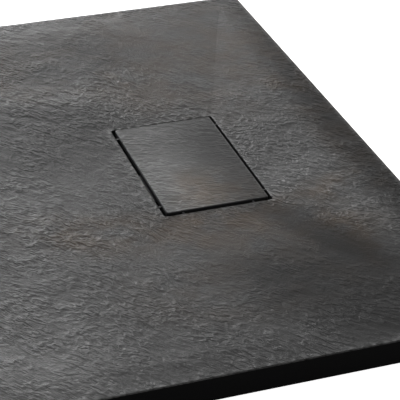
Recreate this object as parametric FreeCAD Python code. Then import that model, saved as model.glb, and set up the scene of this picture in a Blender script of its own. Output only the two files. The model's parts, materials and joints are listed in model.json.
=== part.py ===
import FreeCAD, Part
import math
import os

# Low slate-effect shower tray with a lift-out cover over its drain, and the waste trap below.
# Millimetres. X runs along the long side, Y from the front to the wall behind, Z up.
# The origin is the centre of the bedding face, where the rim and the ribs stand on the screed.

# --- Driving dimensions -------------------------------------------------------------------
# Tray moulding
TRAY_LENGTH = 1200.0
TRAY_WIDTH = 800.0
TRAY_HEIGHT = 26.0
CORNER_RADIUS = 4.0
TOP_EDGE_BEVEL = 1.0
RIM_WIDTH = 35.0  # flat rim before the floor starts to fall
FALL = 12.0  # from the rim to the edge of the drain recess
SKIN = 5.0  # thickness of the floor
SKIRT = 6.0  # thickness of the side walls
DRAIN_FROM_END = 200.0  # drain axis to the right-hand short side

# Drain recess and the sump that holds it below the floor
RECESS_X = 123.0
RECESS_Y = 203.4
RECESS_DEPTH = 23.0
RECESS_CORNER_RADIUS = 3.0
RECESS_FLOOR_BEVEL = 2.0
SUMP_WALL = 5.0
SUMP_FLOOR = 7.0
SUMP_BEVEL = 3.0

# Rib grid under the floor
RIB = 4.0
RIB_PITCH = 118.0
POCKET_CORNER = 6.0  # 45 degree gussets where the ribs cross
SUMP_BAY_GAP = 23.5  # from the sump to the centres of the ribs round it

# Lift-out cover
COVER_GAP = 3.9
COVER_PROUD = 2.0  # above the edge of the recess
COVER_PLATE = 6.0
COVER_CORNER_RADIUS = 2.0
COVER_EDGE_BEVEL = 0.7
COVER_RIB_DEPTH = 5.0
COVER_RIB = 3.0
COVER_RIB_INSET = 5.0
COVER_CROSS_RIBS = 3
LEG_RADIUS = 6.0
LEG_INSET = 11.6  # cover edge to leg axis
LUG_WIDTH = 2.2
LUG_HEIGHT = 4.0
LUG_INSET = 18.0  # cover corner to lug
LUG_CLEARANCE = 0.3
PAD_RADIUS = 5.5
PAD_HEIGHT = 3.0
PAD_STEM_RADIUS = 2.5
PAD_STEM_LENGTH = 4.0
PAD_HOLE_CLEARANCE = 0.1
PAD_HOLE_SPARE = 1.0  # hole past the end of the stem

# Waste: the tray is clamped between the flange above and the trap below.
# From the throat outwards come the screw posts, the dish, the waste hole and the flange's lip.
THROAT_RADIUS = 27.0
POST_CLEARANCE = 1.25  # throat to post
DISH_LAND = 0.75  # screw head to the dish's side
DISH_SIDE = 3.5  # how far the dish's side leans out
WASTE_HOLE_CLEARANCE = 2.5
FLANGE_LAP = 12.0  # flange beyond the waste hole
FLANGE_LIP = 2.0
FLANGE_WALL = 2.0
FLANGE_SEAT_CLEARANCE = 0.7
FLANGE_GASKET = 1.5
TRAP_GASKET = 3.0
GASKET_WIDTH = 10.0
GASKET_BACKING = 1.0  # trap rim inside the gasket
DISH_DEPTH = 7.0  # recess floor to the dish floor in the flange
DISH_FLOOR = 2.5
THROAT_LENGTH = 16.0  # dish floor to the ledge that carries the insert
LEDGE = 2.0

# Screws and their posts
SCREW_COUNT = 4
SCREW_RADIUS = 2.0
SCREW_HEAD_RADIUS = 3.5
SCREW_LENGTH = 21.5
SCREW_HOLE_CLEARANCE = 0.4
SCREW_PILOT_CLEARANCE = 0.1
POST_RADIUS = 4.5
POST_FOOT = 4.5  # post below the screw's tip
PILOT_SPARE = 1.0  # pilot hole below the screw's tip
POST_GAP = 0.5  # flange to post, so that the gaskets take the load
POST_WEB = 3.0

# Trap body and outlet
BOWL_INSET = 2.0  # flange edge to bowl wall
BOWL_WALL = 3.0
BOWL_BEVEL = 11.0
TRAP_RIM = 4.0
TRAP_RIM_LAP = 1.0  # trap rim beyond the flange
SEAL_DEPTH = 30.0  # outlet invert to the end of the dip tube
TUBE_END_GAP = 9.4  # end of the dip tube to the bottom of the bowl
BRANCH_LENGTH = 27.0
BRANCH_WALL = 3.4
BRANCH_BORE_STEP = 0.6  # bore below the pipe's own
NUT_BELOW_TRAY = 1.8
SOCKET_DEPTH = 20.0
SOCKET_CHAMFER = 4.0
SOCKET_LAND = 0.7  # flat edge left round the mouth
SOCKET_CLEARANCE = 0.3
THREAD_CLEARANCE = 0.3

# Outlet pipe, which widens to the size of the drain line
PIPE_RADIUS = 20.0
PIPE_WALL = 1.8
PIPE_SHORT_RUN = 41.0
PIPE_CONE = 7.0
SPIGOT_RADIUS = 25.0
SPIGOT_LENGTH = 58.0
SPIGOT_CHAMFER = 2.0
SOCKET_END_GAP = 2.0

# Outlet nut, seal and slip ring
NUT_WALL = 6.0
NUT_LENGTH = 25.5
NUT_END = 3.0
NUT_GRIPS = 12
NUT_GRIP_RADIUS = 2.2
NUT_GRIP_STOP = 5.0  # grip end to nut end
NUT_BEVEL = 2.0
SEAL_LENGTH = 6.0
SEAL_IN_MOUTH = 3.0
SEAL_CLEARANCE = 0.3
SEAL_PINCH = 0.1  # the seal's bore below the slip ring's
SEAL_EDGE = 0.4  # branch wall to the rim of the seal and of the slip ring
SEAL_STEP = 0.5  # mouth of the branch to the seal's full width
SLIP_RING = 1.5

# Dip insert with its lip seal
INSERT_CLEARANCE = 0.3
INSERT_COLLAR = 12.0
INSERT_COLLAR_WALL = 5.0
TUBE_WALL = 1.8
TUBE_CLEARANCE = 1.5  # tube to the ledge it passes through
GRIP_BAR = 4.0
GRIP_BAR_ROOT = 0.5  # each end of the bar inside the collar
GROOVE_DEPTH = 2.2
GROOVE_HEIGHT = 4.0
LIP_SEAL_CLEARANCE = 0.08  # to the throat and to the groove
LIP_SEAL_BAND = 1.0
LIP_HEIGHT = 0.9

# Hair strainer, and the small bevels it shares with the insert
EDGE_BEVEL = 1.0
STRAINER_CLEARANCE = 0.8  # rim to the dish's side
STRAINER_SHEET = 1.5
STRAINER_CUP_CLEARANCE = 1.5  # cup to throat
STRAINER_CUP_DEPTH = 3.0
STRAINER_SLOT = 2.2
STRAINER_LAND = 2.5  # metal inside, between and outside the two rings of slots
STRAINER_RINGS = (9, 18)  # slots in the inner and the outer ring
KNOB_RADIUS = 4.5
KNOB_HEIGHT = 9.0
KNOB_WAIST = 1.5

# --- Places that follow from them ---------------------------------------------------------
DRAIN_X = TRAY_LENGTH / 2 - DRAIN_FROM_END
DRAIN_Y = 0.0
SUMP_X = RECESS_X + 2 * SUMP_WALL
SUMP_Y = RECESS_Y + 2 * SUMP_WALL
RECESS_EDGE_Z = TRAY_HEIGHT - FALL
RECESS_FLOOR_Z = RECESS_EDGE_Z - RECESS_DEPTH
SUMP_BOTTOM_Z = RECESS_FLOOR_Z - SUMP_FLOOR
SCREW_CIRCLE_RADIUS = THROAT_RADIUS + FLANGE_WALL + POST_CLEARANCE + POST_RADIUS
DISH_FLOOR_RADIUS = SCREW_CIRCLE_RADIUS + SCREW_HEAD_RADIUS + DISH_LAND
DISH_TOP_RADIUS = DISH_FLOOR_RADIUS + DISH_SIDE
WASTE_HOLE_RADIUS = DISH_TOP_RADIUS + WASTE_HOLE_CLEARANCE
FLANGE_RADIUS = WASTE_HOLE_RADIUS + FLANGE_LAP
FLANGE_SEAT_Z = RECESS_FLOOR_Z - FLANGE_LIP - FLANGE_GASKET
DISH_Z = RECESS_FLOOR_Z - DISH_DEPTH
DISH_UNDERSIDE_Z = DISH_Z - DISH_FLOOR
LEDGE_Z = DISH_Z - THROAT_LENGTH
TRAP_TOP_Z = SUMP_BOTTOM_Z - TRAP_GASKET
POST_TOP_Z = DISH_UNDERSIDE_Z - POST_GAP
BOWL_RADIUS = FLANGE_RADIUS - BOWL_INSET
BRANCH_RADIUS = PIPE_RADIUS + SOCKET_CLEARANCE + BRANCH_WALL
BRANCH_BORE_RADIUS = PIPE_RADIUS - PIPE_WALL - BRANCH_BORE_STEP
BRANCH_END = BOWL_RADIUS + BRANCH_LENGTH
NUT_RADIUS = BRANCH_RADIUS + THREAD_CLEARANCE + NUT_WALL
OUTLET_Z = SUMP_BOTTOM_Z - NUT_BELOW_TRAY - NUT_GRIP_RADIUS - NUT_RADIUS
TUBE_END_Z = OUTLET_Z - BRANCH_BORE_RADIUS - SEAL_DEPTH
BOWL_BOTTOM_Z = TUBE_END_Z - TUBE_END_GAP - BOWL_WALL
COVER_X = RECESS_X - 2 * COVER_GAP
COVER_Y = RECESS_Y - 2 * COVER_GAP
COVER_TOP_Z = RECESS_EDGE_Z + COVER_PROUD
COVER_UNDERSIDE_Z = COVER_TOP_Z - COVER_PLATE
PAD_TOP_Z = RECESS_FLOOR_Z + PAD_HEIGHT
FAR = 50.0  # how far a cutting tool runs past what it cuts

UP = FreeCAD.Vector(0, 0, 1)
OUTWARD = FreeCAD.Vector(0, 1, 0)  # the way the waste water leaves


# --- Shapes that repeat -------------------------------------------------------------------
def save(name, shape):
    shape.exportStep("parts/" + name + ".step")


def block(size_x, size_y, z_low, z_high, centre=(0.0, 0.0)):
    corner = FreeCAD.Vector(centre[0] - size_x / 2, centre[1] - size_y / 2, z_low)
    return Part.makeBox(size_x, size_y, z_high - z_low, corner)


def upright_edges(shape):
    height = shape.BoundBox.ZLength
    return [e for e in shape.Edges if abs(e.BoundBox.ZLength - height) < 1e-6]


def rounded_block(size_x, size_y, z_low, z_high, radius, centre=(0.0, 0.0)):
    """A block with rounded vertical edges."""
    sharp = block(size_x, size_y, z_low, z_high, centre)
    return sharp.makeFillet(radius, upright_edges(sharp))


def edges_at(shape, z):
    """The edges that lie flat at one height."""
    return [e for e in shape.Edges if abs(e.BoundBox.ZMin - z) < 1e-6 and e.BoundBox.ZLength < 1e-6]


def rectangle(size_x, size_y, z, centre):
    """The four corners of a level rectangle."""
    signs = ((-1, -1), (1, -1), (1, 1), (-1, 1))
    return [FreeCAD.Vector(centre[0] + a * size_x / 2, centre[1] + b * size_y / 2, z) for a, b in signs]


def frustum(low, high):
    """The solid between two level rectangles; each side is one sloping plane."""
    loops = [low, high]
    for i in range(4):
        j = (i + 1) % 4
        loops.append([low[i], low[j], high[j], high[i]])
    faces = [Part.Face(Part.makePolygon(loop + loop[:1])) for loop in loops]
    return Part.makeSolid(Part.makeShell(faces))


def turned(points):
    """A solid of revolution about the drain axis, from (radius, z) points."""
    outline = Part.makePolygon([FreeCAD.Vector(r, 0, z) for r, z in points + points[:1]])
    solid = Part.Face(outline).revolve(FreeCAD.Vector(0, 0, 0), UP, 360)
    solid.translate(FreeCAD.Vector(DRAIN_X, DRAIN_Y, 0))
    return solid


def turned_on_outlet(points):
    """A solid of revolution about the outlet axis, from (radius, distance from the drain axis) points."""
    outline = Part.makePolygon([FreeCAD.Vector(r, s, 0) for r, s in points + points[:1]])
    solid = Part.Face(outline).revolve(FreeCAD.Vector(0, 0, 0), OUTWARD, 360)
    solid.translate(FreeCAD.Vector(DRAIN_X, DRAIN_Y, OUTLET_Z))
    return solid


def drain_cylinder(radius, z_low, z_high, x=0.0, y=0.0):
    """An upright cylinder placed from the drain axis."""
    return Part.makeCylinder(radius, z_high - z_low, FreeCAD.Vector(DRAIN_X + x, DRAIN_Y + y, z_low))


def around_drain(shape, count, start=0.0):
    """Copies of a shape at equal angles about the drain axis."""
    copies = []
    for i in range(count):
        copy = shape.copy()
        copy.rotate(FreeCAD.Vector(DRAIN_X, DRAIN_Y, 0), UP, start + i * 360.0 / count)
        copies.append(copy)
    return copies


# --- Tray moulding ------------------------------------------------------------------------
def floor_fall(drop):
    """The space above the tray's four falling planes, lowered by drop."""
    edge = rectangle(RECESS_X, RECESS_Y, RECESS_EDGE_Z - drop, (DRAIN_X, DRAIN_Y))
    rim_x = TRAY_LENGTH - 2 * RIM_WIDTH
    rim_y = TRAY_WIDTH - 2 * RIM_WIDTH
    return frustum(edge, rectangle(rim_x, rim_y, TRAY_HEIGHT - drop, (0.0, 0.0)))


def spread(start, end):
    """Rib centres from start to end, evenly spaced and about a pitch apart."""
    bays = max(1, round(abs(end - start) / RIB_PITCH))
    return [start + (end - start) * i / bays for i in range(bays + 1)]


def rib_lines(bay_low, bay_high, half_size):
    """All rib centres across the tray in one direction; the outermost are half inside the skirt."""
    edge = half_size - SKIRT + RIB / 2
    lines = spread(-edge, bay_low) + spread(bay_low, bay_high)[1:] + spread(bay_high, edge)[1:]
    return lines


def rib_pockets():
    """The spaces between the ribs, from the bedding face up to the underside of the floor."""
    half_x = SUMP_X / 2 + SUMP_BAY_GAP
    half_y = SUMP_Y / 2 + SUMP_BAY_GAP
    bay_x = (DRAIN_X - half_x, DRAIN_X + half_x)
    bay_y = (DRAIN_Y - half_y, DRAIN_Y + half_y)
    lines_x = rib_lines(bay_x[0], bay_x[1], TRAY_LENGTH / 2)
    lines_y = rib_lines(bay_y[0], bay_y[1], TRAY_WIDTH / 2)
    cells = [(bay_x, bay_y)]
    for x in zip(lines_x, lines_x[1:]):
        for y in zip(lines_y, lines_y[1:]):
            in_bay = bay_x[0] <= sum(x) / 2 <= bay_x[1] and bay_y[0] <= sum(y) / 2 <= bay_y[1]
            if not in_bay:
                cells.append((x, y))
    pockets = []
    for x, y in cells:
        size = (x[1] - x[0] - RIB, y[1] - y[0] - RIB)
        centre = (sum(x) / 2, sum(y) / 2)
        pocket = block(size[0], size[1], -FAR, TRAY_HEIGHT - SKIN, centre)
        pockets.append(pocket.makeChamfer(POCKET_CORNER, upright_edges(pocket)))
    return Part.makeCompound(pockets).cut(floor_fall(SKIN))


def tray_shell():
    drain = (DRAIN_X, DRAIN_Y)
    shell = rounded_block(TRAY_LENGTH, TRAY_WIDTH, 0, TRAY_HEIGHT, CORNER_RADIUS)
    shell = shell.makeChamfer(TOP_EDGE_BEVEL, edges_at(shell, TRAY_HEIGHT))
    shell = shell.cut(floor_fall(0))
    shell = shell.cut(rib_pockets())
    sump_top = RECESS_EDGE_Z - SKIN / 2
    corner = RECESS_CORNER_RADIUS + SUMP_WALL
    sump = rounded_block(SUMP_X, SUMP_Y, SUMP_BOTTOM_Z, sump_top, corner, drain)
    sump = sump.makeChamfer(SUMP_BEVEL, edges_at(sump, SUMP_BOTTOM_Z))
    shell = shell.fuse(sump)
    recess = rounded_block(RECESS_X, RECESS_Y, RECESS_FLOOR_Z, FAR, RECESS_CORNER_RADIUS, drain)
    recess = recess.makeChamfer(RECESS_FLOOR_BEVEL, edges_at(recess, RECESS_FLOOR_Z))
    shell = shell.cut(recess)
    seat = drain_cylinder(FLANGE_RADIUS + FLANGE_SEAT_CLEARANCE, FLANGE_SEAT_Z, 0)
    hole = drain_cylinder(WASTE_HOLE_RADIUS, SUMP_BOTTOM_Z - FAR, 0)
    return shell.cut(seat).cut(hole).removeSplitter()


# --- Cover --------------------------------------------------------------------------------
def corners(inset):
    """The four points at the same inset from the cover's corners."""
    half = (COVER_X / 2 - inset, COVER_Y / 2 - inset)
    return [(a * half[0], b * half[1]) for a in (-1, 1) for b in (-1, 1)]


def cover_box(size_x, size_y, z_low, z_high, x=0.0, y=0.0):
    """A block placed from the drain axis."""
    return block(size_x, size_y, z_low, z_high, (DRAIN_X + x, DRAIN_Y + y))


def cover_ribs():
    """A rib round the edge and a grid inside it, under the plate."""
    outer = (COVER_X - 2 * COVER_RIB_INSET, COVER_Y - 2 * COVER_RIB_INSET)
    z = (COVER_UNDERSIDE_Z - COVER_RIB_DEPTH, COVER_UNDERSIDE_Z)
    inner = (outer[0] - 2 * COVER_RIB, outer[1] - 2 * COVER_RIB)
    ring = cover_box(outer[0], outer[1], z[0], z[1]).cut(cover_box(inner[0], inner[1], z[0], z[1]))
    ribs = [ring, cover_box(COVER_RIB, inner[1], z[0], z[1])]
    for i in range(COVER_CROSS_RIBS):
        y = inner[1] * ((i + 1) / (COVER_CROSS_RIBS + 1) - 0.5)
        ribs.append(cover_box(inner[0], COVER_RIB, z[0], z[1], 0.0, y))
    return ribs


def cover_lugs():
    """Two spacers on each side, which keep the gap even."""
    reach = COVER_GAP - LUG_CLEARANCE
    z = (COVER_UNDERSIDE_Z, COVER_UNDERSIDE_Z + LUG_HEIGHT)
    lugs = []
    for x, y in corners(LUG_INSET):
        side_x = math.copysign(COVER_X / 2, x)
        side_y = math.copysign(COVER_Y / 2, y)
        lugs.append(cover_box(2 * reach, LUG_WIDTH, z[0], z[1], side_x, y))
        lugs.append(cover_box(LUG_WIDTH, 2 * reach, z[0], z[1], x, side_y))
    return lugs


def drain_cover():
    drain = (DRAIN_X, DRAIN_Y)
    z = (COVER_UNDERSIDE_Z, COVER_TOP_Z)
    plate = rounded_block(COVER_X, COVER_Y, z[0], z[1], COVER_CORNER_RADIUS, drain)
    plate = plate.makeChamfer(COVER_EDGE_BEVEL, edges_at(plate, COVER_TOP_Z))
    legs = [drain_cylinder(LEG_RADIUS, PAD_TOP_Z, z[0], x, y) for x, y in corners(LEG_INSET)]
    cover = plate.fuse(cover_ribs() + cover_lugs() + legs)
    depth = PAD_TOP_Z + PAD_STEM_LENGTH + PAD_HOLE_SPARE
    hole = PAD_STEM_RADIUS + PAD_HOLE_CLEARANCE
    holes = [drain_cylinder(hole, PAD_TOP_Z, depth, x, y) for x, y in corners(LEG_INSET)]
    return cover.cut(holes).removeSplitter()


def cover_pad(x, y):
    pad = drain_cylinder(PAD_RADIUS, RECESS_FLOOR_Z, PAD_TOP_Z, x, y)
    stem = drain_cylinder(PAD_STEM_RADIUS, PAD_TOP_Z, PAD_TOP_Z + PAD_STEM_LENGTH, x, y)
    return pad.fuse(stem).removeSplitter()


# --- Waste flange, gaskets and screws -----------------------------------------------------
def waste_flange():
    throat_outer = THROAT_RADIUS + FLANGE_WALL
    ledge_bottom = LEDGE_Z - LEDGE
    flange = turned(
        [
            (FLANGE_RADIUS, RECESS_FLOOR_Z),
            (DISH_TOP_RADIUS, RECESS_FLOOR_Z),
            (DISH_FLOOR_RADIUS, DISH_Z),
            (THROAT_RADIUS, DISH_Z),
            (THROAT_RADIUS, LEDGE_Z),
            (THROAT_RADIUS - LEDGE, LEDGE_Z),
            (THROAT_RADIUS - LEDGE, ledge_bottom),
            (throat_outer, ledge_bottom),
            (throat_outer, DISH_UNDERSIDE_Z),
            (DISH_FLOOR_RADIUS + FLANGE_WALL / 2, DISH_UNDERSIDE_Z),
            (DISH_TOP_RADIUS + FLANGE_WALL / 2, RECESS_FLOOR_Z - FLANGE_LIP),
            (FLANGE_RADIUS, RECESS_FLOOR_Z - FLANGE_LIP),
        ]
    )
    wide = SCREW_HEAD_RADIUS + SCREW_HOLE_CLEARANCE
    narrow = SCREW_RADIUS + SCREW_HOLE_CLEARANCE
    sink = Part.makeCone(narrow, wide, wide - narrow)
    sink.translate(FreeCAD.Vector(DRAIN_X + SCREW_CIRCLE_RADIUS, DRAIN_Y, DISH_Z - wide + narrow))
    through = drain_cylinder(narrow, DISH_UNDERSIDE_Z - FAR, DISH_Z, SCREW_CIRCLE_RADIUS)
    holes = around_drain(sink.fuse(through), SCREW_COUNT, 45)
    return flange.cut(holes).removeSplitter()


def gasket(z_low, z_high):
    """A flat ring under the flange's lip or on the trap's rim."""
    inner = FLANGE_RADIUS - GASKET_WIDTH
    return turned([(inner, z_low), (FLANGE_RADIUS, z_low), (FLANGE_RADIUS, z_high), (inner, z_high)])


def flange_screws():
    """The countersunk screws that draw the flange and the trap together, one after the other."""
    taper = SCREW_HEAD_RADIUS - SCREW_RADIUS
    tip = DISH_Z - SCREW_LENGTH
    screw = turned(
        [
            (0, DISH_Z),
            (SCREW_HEAD_RADIUS, DISH_Z),
            (SCREW_RADIUS, DISH_Z - taper),
            (SCREW_RADIUS, tip),
            (0, tip),
        ]
    )
    screw.translate(FreeCAD.Vector(SCREW_CIRCLE_RADIUS, 0, 0))
    return around_drain(screw, SCREW_COUNT, 45)


# --- Trap body ----------------------------------------------------------------------------
def bowl(radius, floor_z, bevel, top_z):
    """A plain bowl form with a bevelled bottom edge, as one solid."""
    return turned(
        [(0, floor_z), (radius - bevel, floor_z), (radius, floor_z + bevel), (radius, top_z), (0, top_z)]
    )


def trap_body():
    rim_bottom = TRAP_TOP_Z - TRAP_RIM
    inner = BOWL_RADIUS - BOWL_WALL
    rim_inner = FLANGE_RADIUS - GASKET_WIDTH - GASKET_BACKING
    rim_outer = FLANGE_RADIUS + TRAP_RIM_LAP
    rim = turned(
        [(rim_inner, TRAP_TOP_Z), (rim_outer, TRAP_TOP_Z), (rim_outer, rim_bottom), (rim_inner, rim_bottom)]
    )
    inner_bevel = BOWL_BEVEL - BOWL_WALL * math.tan(math.pi / 8)
    outside = bowl(BOWL_RADIUS, BOWL_BOTTOM_Z, BOWL_BEVEL, rim_bottom)
    hollow = bowl(inner, BOWL_BOTTOM_Z + BOWL_WALL, inner_bevel, rim_bottom)
    branch = turned_on_outlet(
        [(0, inner), (BRANCH_RADIUS, inner), (BRANCH_RADIUS, BRANCH_END), (0, BRANCH_END)]
    )
    body = outside.fuse([rim, branch]).cut(hollow)

    # water leaves through the bore, and the outlet pipe stands in the socket behind it
    socket = PIPE_RADIUS + SOCKET_CLEARANCE
    shoulder = BRANCH_END - SOCKET_DEPTH
    bore = turned_on_outlet(
        [
            (0, 0),
            (BRANCH_BORE_RADIUS, 0),
            (BRANCH_BORE_RADIUS, shoulder),
            (socket, shoulder),
            (socket, BRANCH_END - SOCKET_CHAMFER),
            (mouth_radius(), BRANCH_END),
            (0, BRANCH_END),
        ]
    )
    body = body.cut(bore)

    # screw posts, each tied to the wall by a web
    foot_z = DISH_Z - SCREW_LENGTH - POST_FOOT
    post = drain_cylinder(POST_RADIUS, foot_z, POST_TOP_Z, SCREW_CIRCLE_RADIUS)
    web_start = FreeCAD.Vector(DRAIN_X + SCREW_CIRCLE_RADIUS, DRAIN_Y - POST_WEB / 2, foot_z)
    web_height = rim_bottom - foot_z
    web = Part.makeBox(BOWL_RADIUS - BOWL_WALL / 2 - SCREW_CIRCLE_RADIUS, POST_WEB, web_height, web_start)
    body = body.fuse(around_drain(post.fuse(web), SCREW_COUNT, 45))
    pilot_radius = SCREW_RADIUS + SCREW_PILOT_CLEARANCE
    pilot_end = DISH_Z - SCREW_LENGTH - PILOT_SPARE
    pilot = drain_cylinder(pilot_radius, pilot_end, POST_TOP_Z, SCREW_CIRCLE_RADIUS)
    return body.cut(around_drain(pilot, SCREW_COUNT, 45)).removeSplitter()


# --- Outlet -------------------------------------------------------------------------------
def mouth_radius():
    """The branch's inner radius at its chamfered mouth."""
    return BRANCH_RADIUS - SOCKET_LAND


def seal_end():
    """Where the seal meets the slip ring, from the drain axis."""
    return BRANCH_END - SEAL_IN_MOUTH + SEAL_LENGTH


def outlet_seal():
    """A tapered ring that the nut presses into the chamfered mouth of the branch."""
    inner = PIPE_RADIUS + SEAL_CLEARANCE - SEAL_PINCH
    start = BRANCH_END - SEAL_IN_MOUTH
    socket = PIPE_RADIUS + SOCKET_CLEARANCE
    slope = (mouth_radius() - socket) / SOCKET_CHAMFER
    at_start = socket + slope * (SOCKET_CHAMFER - SEAL_IN_MOUTH) - SEAL_CLEARANCE
    at_mouth = mouth_radius() - SEAL_CLEARANCE
    outer = BRANCH_RADIUS - SEAL_EDGE
    return turned_on_outlet(
        [
            (inner, start),
            (at_start, start),
            (at_mouth, BRANCH_END),
            (outer, BRANCH_END + SEAL_STEP),
            (outer, seal_end()),
            (inner, seal_end()),
        ]
    )


def outlet_slip_ring():
    inner = PIPE_RADIUS + SEAL_CLEARANCE
    outer = BRANCH_RADIUS - SEAL_EDGE
    end = seal_end() + SLIP_RING
    return turned_on_outlet([(inner, seal_end()), (outer, seal_end()), (outer, end), (inner, end)])


def outlet_nut():
    thread = BRANCH_RADIUS + THREAD_CLEARANCE
    inner_face = seal_end() + SLIP_RING
    end = inner_face + NUT_END
    start = end - NUT_LENGTH
    lip = PIPE_RADIUS + 2 * SEAL_CLEARANCE
    nut = turned_on_outlet(
        [
            (thread, start),
            (thread, inner_face),
            (lip, inner_face),
            (lip, end),
            (NUT_RADIUS - NUT_BEVEL, end),
            (NUT_RADIUS, end - NUT_BEVEL),
            (NUT_RADIUS, start),
        ]
    )
    grips = []
    for i in range(NUT_GRIPS):
        foot = FreeCAD.Vector(NUT_RADIUS, start, 0)
        grip = Part.makeCylinder(NUT_GRIP_RADIUS, NUT_LENGTH - NUT_GRIP_STOP, foot, OUTWARD)
        grip.rotate(FreeCAD.Vector(0, 0, 0), OUTWARD, i * 360.0 / NUT_GRIPS)
        grip.translate(FreeCAD.Vector(DRAIN_X, DRAIN_Y, OUTLET_Z))
        grips.append(grip)
    bore = turned_on_outlet([(0, start), (thread, start), (thread, inner_face), (0, inner_face)])
    return nut.fuse(grips).cut(bore).removeSplitter()


def outlet_pipe():
    start = BRANCH_END - SOCKET_DEPTH + SOCKET_END_GAP
    cone_start = start + PIPE_SHORT_RUN
    cone_end = cone_start + PIPE_CONE
    end = cone_end + SPIGOT_LENGTH + SPIGOT_CHAMFER
    return turned_on_outlet(
        [
            (PIPE_RADIUS - PIPE_WALL, start),
            (PIPE_RADIUS, start),
            (PIPE_RADIUS, cone_start),
            (SPIGOT_RADIUS, cone_end),
            (SPIGOT_RADIUS, cone_end + SPIGOT_LENGTH),
            (SPIGOT_RADIUS - SPIGOT_CHAMFER / 2, end),
            (SPIGOT_RADIUS - PIPE_WALL, end),
            (SPIGOT_RADIUS - PIPE_WALL, cone_end),
            (PIPE_RADIUS - PIPE_WALL, cone_start),
        ]
    )


# --- Dip insert, lip seal and strainer ----------------------------------------------------
def groove():
    """The seal groove in the insert's collar: its radius, and its lower and upper height."""
    middle = LEDGE_Z + INSERT_COLLAR / 2
    radius = THROAT_RADIUS - INSERT_CLEARANCE - GROOVE_DEPTH
    return radius, middle - GROOVE_HEIGHT / 2, middle + GROOVE_HEIGHT / 2


def trap_insert():
    """A dip tube that hangs in the flange's throat: water goes down it, and rises outside to the outlet."""
    collar = THROAT_RADIUS - INSERT_CLEARANCE
    collar_inner = collar - INSERT_COLLAR_WALL
    collar_top = LEDGE_Z + INSERT_COLLAR
    groove_radius, groove_low, groove_high = groove()
    tube = THROAT_RADIUS - LEDGE - TUBE_CLEARANCE
    insert = turned(
        [
            (collar_inner, collar_top),
            (collar - EDGE_BEVEL, collar_top),
            (collar, collar_top - EDGE_BEVEL),
            (collar, groove_high),
            (groove_radius, groove_high),
            (groove_radius, groove_low),
            (collar, groove_low),
            (collar, LEDGE_Z),
            (tube, LEDGE_Z),
            (tube, TUBE_END_Z),
            (tube - TUBE_WALL, TUBE_END_Z),
            (tube - TUBE_WALL, LEDGE_Z),
        ]
    )
    bar_low = collar_top - GRIP_BAR
    bar_length = 2 * (collar_inner + GRIP_BAR_ROOT)
    corner = FreeCAD.Vector(DRAIN_X - bar_length / 2, DRAIN_Y - GRIP_BAR / 2, bar_low)
    bar = Part.makeBox(bar_length, GRIP_BAR, GRIP_BAR, corner)
    return insert.fuse(bar).removeSplitter()


def insert_seal():
    """A rubber band in the groove, with a lip that wipes the throat."""
    radius, low, high = groove()
    inner = radius + LIP_SEAL_CLEARANCE
    band = inner + LIP_SEAL_BAND
    tip = THROAT_RADIUS - LIP_SEAL_CLEARANCE
    low = low + LIP_SEAL_CLEARANCE
    high = high - LIP_SEAL_CLEARANCE
    return turned([(inner, low), (band, low), (tip, high - LIP_HEIGHT), (tip, high), (inner, high)])


def hair_strainer():
    """A pressed cup with two rings of slots and a knob to lift it by."""
    rim = DISH_FLOOR_RADIUS - STRAINER_CLEARANCE
    rim_top = DISH_Z + STRAINER_SHEET
    cup = THROAT_RADIUS - STRAINER_CUP_CLEARANCE
    cup_floor = DISH_Z - STRAINER_CUP_DEPTH
    cup_inner = cup - STRAINER_SHEET
    floor_top = cup_floor + STRAINER_SHEET
    knob_top = floor_top + KNOB_HEIGHT
    strainer = turned(
        [
            (0, cup_floor),
            (cup - EDGE_BEVEL, cup_floor),
            (cup, cup_floor + EDGE_BEVEL),
            (cup, DISH_Z),
            (rim, DISH_Z),
            (rim, rim_top),
            (cup_inner + EDGE_BEVEL, rim_top),
            (cup_inner, rim_top - EDGE_BEVEL),
            (cup_inner, floor_top),
            (KNOB_RADIUS, floor_top),
            (KNOB_RADIUS - KNOB_WAIST, floor_top + KNOB_HEIGHT / 3),
            (KNOB_RADIUS, knob_top - 2 * EDGE_BEVEL),
            (KNOB_RADIUS - EDGE_BEVEL, knob_top),
            (0, knob_top),
        ]
    )
    length = (cup_inner - KNOB_RADIUS - 3 * STRAINER_LAND) / 2
    slots = []
    for i, count in enumerate(STRAINER_RINGS):
        radius = KNOB_RADIUS + STRAINER_LAND + length / 2 + i * (length + STRAINER_LAND)
        centre = (DRAIN_X + radius, DRAIN_Y)
        slot = block(length, STRAINER_SLOT, cup_floor - FAR, floor_top + STRAINER_SHEET, centre)
        slots += around_drain(slot, count)
    return strainer.cut(slots).removeSplitter()


# --- Build --------------------------------------------------------------------------------
os.makedirs("parts", exist_ok=True)
save("tray_shell", tray_shell())
save("drain_cover", drain_cover())
for pad_name, place in zip(("left_front", "left_back", "right_front", "right_back"), corners(LEG_INSET)):
    save("cover_pad_" + pad_name, cover_pad(*place))
save("waste_flange", waste_flange())
save("flange_gasket", gasket(FLANGE_SEAT_Z, FLANGE_SEAT_Z + FLANGE_GASKET))
save("trap_gasket", gasket(TRAP_TOP_Z, SUMP_BOTTOM_Z))
for number, flange_screw in enumerate(flange_screws(), 1):
    save("flange_screw_" + str(number), flange_screw)
save("trap_body", trap_body())
save("outlet_seal", outlet_seal())
save("outlet_slip_ring", outlet_slip_ring())
save("outlet_nut", outlet_nut())
save("outlet_pipe", outlet_pipe())
save("trap_insert", trap_insert())
save("insert_seal", insert_seal())
save("hair_strainer", hair_strainer())
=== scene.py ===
import json
import math

import bmesh
import bpy
from mathutils import Matrix, Vector, noise

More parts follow.
